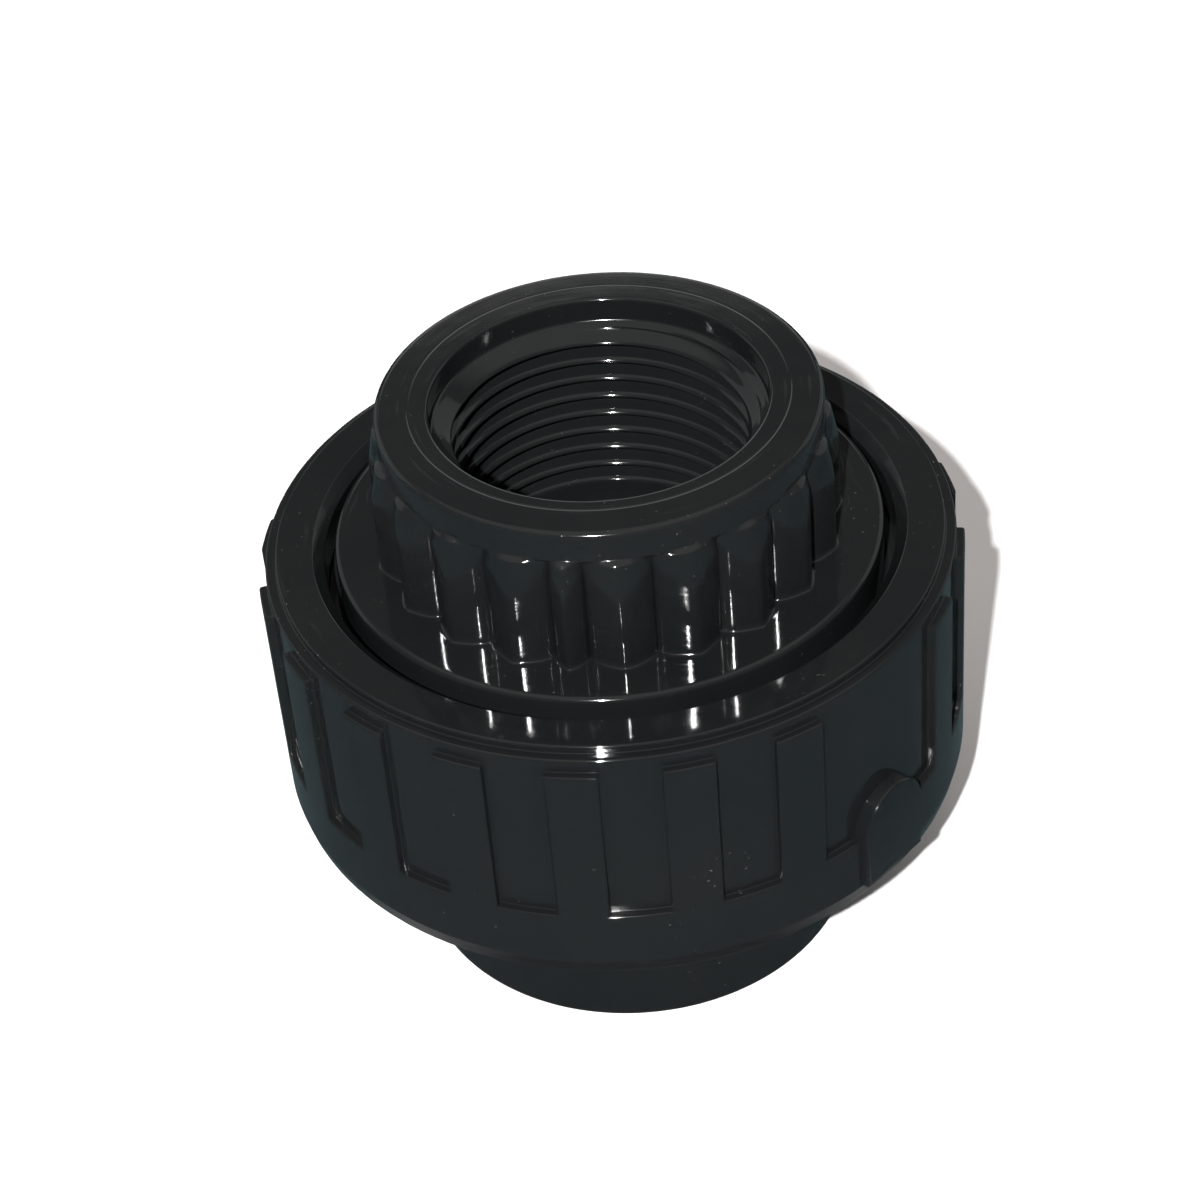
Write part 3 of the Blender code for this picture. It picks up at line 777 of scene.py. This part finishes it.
def joined_to(mesh, extra):
    """Two closed meshes made one skin."""
    first = bpy.data.objects.new("first_skin", mesh)
    second = bpy.data.objects.new("second_skin", extra)
    for piece in (first, second):
        bpy.context.scene.collection.objects.link(piece)
    union = first.modifiers.new("Union", "BOOLEAN")
    union.object = second
    union.operation = "UNION"
    union.solver = "EXACT"
    graph = bpy.context.evaluated_depsgraph_get()
    made = bpy.data.meshes.new_from_object(first.evaluated_get(graph))
    for piece in (first, second):
        bpy.data.objects.remove(piece, do_unlink=True)
    return made


# ---------------------------------------------------------------- body and seal


def body_loop(settings):
    """The lower body, up the outside and back down through the waterway and the socket."""
    loop = Loop(np.arange(0.0, 360.0, BODY_COLUMN_DEG))
    low, high = HEAD_FOOT + 0.4 * MM, BODY_TOP - 0.4 * MM
    section = union_section(UNION_CREST_HALF, HEAD_TOOTH - HEAD_SIDE)

    def head_radius(share, height, middle):
        rise = ease((middle - UNION_TOOTH_START + 0.1 * MM) / (0.35 * MM))
        fall = ease((UNION_TOOTH_END + 0.1 * MM - middle) / (0.35 * MM))
        return HEAD_SIDE + (HEAD_TOOTH - HEAD_SIDE) * share * rise * fall

    # Collar, pocket under the head, then the head's side with its thread
    loop.rows(rounded([
        (SOCKET_BORE + 1.0 * MM, 0.0, 0.0), (SOCKET_COLLAR, 0.0, settings.edge_round),
        (SOCKET_COLLAR, POCKET_ROOF, 0.6 * MM), (SKIRT_BORE, POCKET_ROOF, 0.4 * MM),
        (SKIRT_BORE, HEAD_FOOT, 0.3 * MM), (HEAD_SIDE, HEAD_FOOT, 0.25 * MM),
        (HEAD_SIDE, low, 0.0)], arc_steps=5)[1:-1])
    loop.thread(low, high, UNION_PITCH, UNION_TOOTH_START, section, head_radius)

    # Sealing face, waterway, stop shoulder and socket
    loop.rows(rounded([
        (HEAD_SIDE, high + 0.02 * MM, 0.0), (HEAD_SIDE, BODY_TOP, 0.35 * MM),
        (WATERWAY, BODY_TOP, 0.2 * MM), (WATERWAY, SOCKET_STOP, 0.3 * MM),
        (SOCKET_BORE, SOCKET_STOP, 0.3 * MM), (SOCKET_BORE, 1.0 * MM, 0.2 * MM),
        (SOCKET_BORE + 1.0 * MM, 0.0, 0.12 * MM), (SOCKET_COLLAR, 0.0, 0.0)])[:-1])
    return loop


def seal_loop(settings):
    """The O-ring, a little fuller along its two parting lines."""
    loop = Loop(np.arange(0.0, 360.0, SEAL_COLUMN_DEG))
    middle_r = (RING_BOX[1].x + GROOVE_INNER + 0.1 * MM) / 2.0
    half_wide = RING_BOX[1].x - middle_r
    middle_z = (RING_BOX[0].z + RING_BOX[1].z) / 2.0
    half_tall = (RING_BOX[1].z - RING_BOX[0].z) / 2.0
    for i in range(SEAL_STEPS):
        angle = -2.0 * math.pi * i / SEAL_STEPS
        on_line = i in (0, SEAL_STEPS // 2)
        wide = half_wide if on_line else half_wide - settings.flash_line
        loop.row(middle_r + wide * math.cos(angle), middle_z + half_tall * math.sin(angle))
    return loop


# ---------------------------------------------------------------- operators


class PIPEUNION_OT_socket_body(bpy.types.Operator):
    """Build the lower body with its solvent socket and threaded head"""

    bl_idname = "pipe_union.socket_body"
    bl_label = "Build Socket Body"
    bl_options = {"REGISTER", "UNDO"}

    def execute(self, context):
        mesh = body_loop(context.scene.union_body).mesh("socket_moulding")
        # Painted shade: index=1.43 makes this copy of the same plastic reflect less than the
        # connector and nut, so the socket collar under the nut looks darker, standing in for the
        # shade there
        material = moulded_plastic("body_plastic", context.scene.union_finish,
                                   gloss_share=1.1, index=1.43)
        place_piece("socket_moulding", mesh, material, "socket_body")
        return {"FINISHED"}


class PIPEUNION_OT_o_ring(bpy.types.Operator):
    """Build the rubber O-ring that seals the two faces"""

    bl_idname = "pipe_union.o_ring"
    bl_label = "Build O-Ring"
    bl_options = {"REGISTER", "UNDO"}

    def execute(self, context):
        mesh = seal_loop(context.scene.union_seal).mesh("seal_ring")
        material = seal_rubber("seal_rubber", tuple(context.scene.union_finish.rubber_colour))
        place_piece("seal_ring", mesh, material, "o_ring")
        return {"FINISHED"}


class PIPEUNION_OT_end_connector(bpy.types.Operator):
    """Build the ribbed end connector with its female pipe thread"""

    bl_idname = "pipe_union.end_connector"
    bl_label = "Build End Connector"
    bl_options = {"REGISTER", "UNDO"}

    def execute(self, context):
        mesh = connector_loop(context.scene.union_connector).mesh("connector_moulding")
        material = moulded_plastic("connector_plastic", context.scene.union_finish)
        place_piece("connector_moulding", mesh, material, "end_connector")
        return {"FINISHED"}


class PIPEUNION_OT_union_nut(bpy.types.Operator):
    """Build the union nut with its blocks, recesses and pad"""

    bl_idname = "pipe_union.union_nut"
    bl_label = "Build Union Nut"
    bl_options = {"REGISTER", "UNDO"}

    def execute(self, context):
        settings = context.scene.union_nut
        mesh = joined_to(nut_loop(settings).mesh("nut_moulding"), pad_mesh(settings))
        material = moulded_plastic("nut_plastic", context.scene.union_finish)
        place_piece("nut_moulding", mesh, material, "union_nut")
        return {"FINISHED"}


class PIPEUNION_OT_stage(bpy.types.Operator):
    """Lay the floor, set the lights and place the camera"""

    bl_idname = "pipe_union.stage"
    bl_label = "Set Stage"
    bl_options = {"REGISTER", "UNDO"}

    def execute(self, context):
        scene = context.scene
        settings = scene.union_stage
        floor_mesh = bpy.data.meshes.new("floor")
        shape = bmesh.new()
        bmesh.ops.create_grid(shape, x_segments=8, y_segments=8, size=FLOOR_HALF)
        shape.to_mesh(floor_mesh)
        shape.free()
        floor = bpy.data.objects.new("floor", floor_mesh)
        scene.collection.objects.link(floor)
        floor_mesh.materials.append(stage_paint("floor_paint", tuple(settings.floor_colour)))
        floor.visible_glossy = False

        soft = settings.soft_power
        across, behind, up = SIDE_REACH
        add_lamp(scene, "key_lamp", "DISK", KEY_SIZE, settings.key_power, KEY_PLACE)
        add_lamp(scene, "left_soft_lamp", "SQUARE", SIDE_SIZE, soft, (-across, behind, up))
        add_lamp(scene, "right_soft_lamp", "SQUARE", SIDE_SIZE, soft, (across, behind, up))
        add_lamp(scene, "back_soft_lamp", "SQUARE", BACK_SIZE, soft, BACK_PLACE)
        overhead = add_lamp(scene, "overhead_lamp", "SQUARE", OVERHEAD_SIZE,
                            settings.overhead_power, OVERHEAD_PLACE)
        overhead.data.color = OVERHEAD_COLOUR
        overhead.visible_glossy = False
        surroundings(scene, settings.sky_strength)
        add_camera(scene)
        scene.view_settings.view_transform = "Standard"
        scene.view_settings.look = "None"
        return {"FINISHED"}


def add_lamp(scene, name, form, size, power, place):
    """An area lamp that faces the middle of the union."""
    lamp = bpy.data.lights.new(name, "AREA")
    lamp.shape = form
    lamp.size = size
    lamp.energy = power
    holder = bpy.data.objects.new(name, lamp)
    holder.location = place
    holder.rotation_euler = (AIM - Vector(place)).to_track_quat("-Z", "Y").to_euler()
    scene.collection.objects.link(holder)
    return holder


def surroundings(scene, strength):
    """Light by direction, from straight down to straight up: a pale band low down, dark and
    cooler at the sides, and pale again overhead."""
    world = bpy.data.worlds.new("surroundings")
    scene.world = world
    world.use_nodes = True
    tree = world.node_tree
    background = tree.nodes["Background"]
    place = tree.nodes.new("ShaderNodeTexCoord")
    split = tree.nodes.new("ShaderNodeSeparateXYZ")
    ramp = tree.nodes.new("ShaderNodeValToRGB")
    shift = tree.nodes.new("ShaderNodeMapRange")
    shift.inputs["From Min"].default_value = -1.0
    tree.links.new(place.outputs["Generated"], split.inputs["Vector"])
    tree.links.new(split.outputs["Z"], shift.inputs["Value"])
    tree.links.new(shift.outputs["Result"], ramp.inputs["Fac"])
    tree.links.new(ramp.outputs["Color"], background.inputs["Color"])
    low, high = ramp.color_ramp.elements
    low.position, low.color = 0.035, (0.040, 0.042, 0.045, 1.0)
    high.position, high.color = 0.92, (0.42, 0.40, 0.39, 1.0)
    between = ((0.068, (0.42, 0.43, 0.43)), (0.105, (0.085, 0.115, 0.125)),
               (0.40, (0.045, 0.085, 0.095)), (0.55, (0.075, 0.080, 0.082)),
               (0.84, (0.095, 0.092, 0.090)))
    for position, colour in between:
        ramp.color_ramp.elements.new(position).color = (*colour, 1.0)
    background.inputs["Strength"].default_value = strength


def add_camera(scene):
    """A 90 mm lens from the front and well above, turned slightly on its axis."""
    camera = bpy.data.cameras.new("camera")
    camera.lens = 90.0
    camera.sensor_width = 36.0
    camera.clip_start = 0.01
    camera.clip_end = 20.0
    holder = bpy.data.objects.new("camera", camera)
    turn = Matrix(((0.996399, 0.084634, 0.005044),
                   (-0.049743, 0.631725, -0.773595),
                   (-0.068659, 0.770559, 0.633660)))
    holder.rotation_euler = turn.to_euler()
    holder.location = (0.0, -0.1977085, 0.1929067)
    scene.collection.objects.link(holder)
    scene.camera = holder


class PIPEUNION_PT_panel(bpy.types.Panel):
    """Sizes, finishes and build buttons of the union"""

    bl_idname = "PIPEUNION_PT_panel"
    bl_label = "Pipe Union"
    bl_space_type = "VIEW_3D"
    bl_region_type = "UI"
    bl_category = "Pipe Union"

    def draw(self, context):
        layout = self.layout
        for title, key, operator in PANEL_ROWS:
            box = layout.box()
            box.label(text=title)
            settings = getattr(context.scene, key)
            for name in settings.__annotations__:
                box.prop(settings, name)
            if operator:
                box.operator(operator)


SETTINGS = (
    ("union_connector", ConnectorSettings),
    ("union_nut", NutSettings),
    ("union_body", BodySettings),
    ("union_seal", SealSettings),
    ("union_finish", FinishSettings),
    ("union_stage", StageSettings),
)
PANEL_ROWS = (
    ("Socket body", "union_body", "pipe_union.socket_body"),
    ("O-ring", "union_seal", "pipe_union.o_ring"),
    ("End connector", "union_connector", "pipe_union.end_connector"),
    ("Union nut", "union_nut", "pipe_union.union_nut"),
    ("Finishes", "union_finish", ""),
    ("Stage", "union_stage", "pipe_union.stage"),
)
CLASSES = (
    *(group for _, group in SETTINGS),
    PIPEUNION_OT_socket_body,
    PIPEUNION_OT_o_ring,
    PIPEUNION_OT_end_connector,
    PIPEUNION_OT_union_nut,
    PIPEUNION_OT_stage,
    PIPEUNION_PT_panel,
)


def register():
    for cls in CLASSES:
        bpy.utils.register_class(cls)
    for key, group in SETTINGS:
        setattr(bpy.types.Scene, key, PointerProperty(type=group))


def unregister():
    for key, _ in SETTINGS:
        delattr(bpy.types.Scene, key)
    for cls in reversed(CLASSES):
        bpy.utils.unregister_class(cls)


def main():
    register()
    bpy.ops.pipe_union.socket_body()
    bpy.ops.pipe_union.o_ring()
    bpy.ops.pipe_union.end_connector()
    bpy.ops.pipe_union.union_nut()
    bpy.ops.pipe_union.stage()


if __name__ == "__main__":
    main()
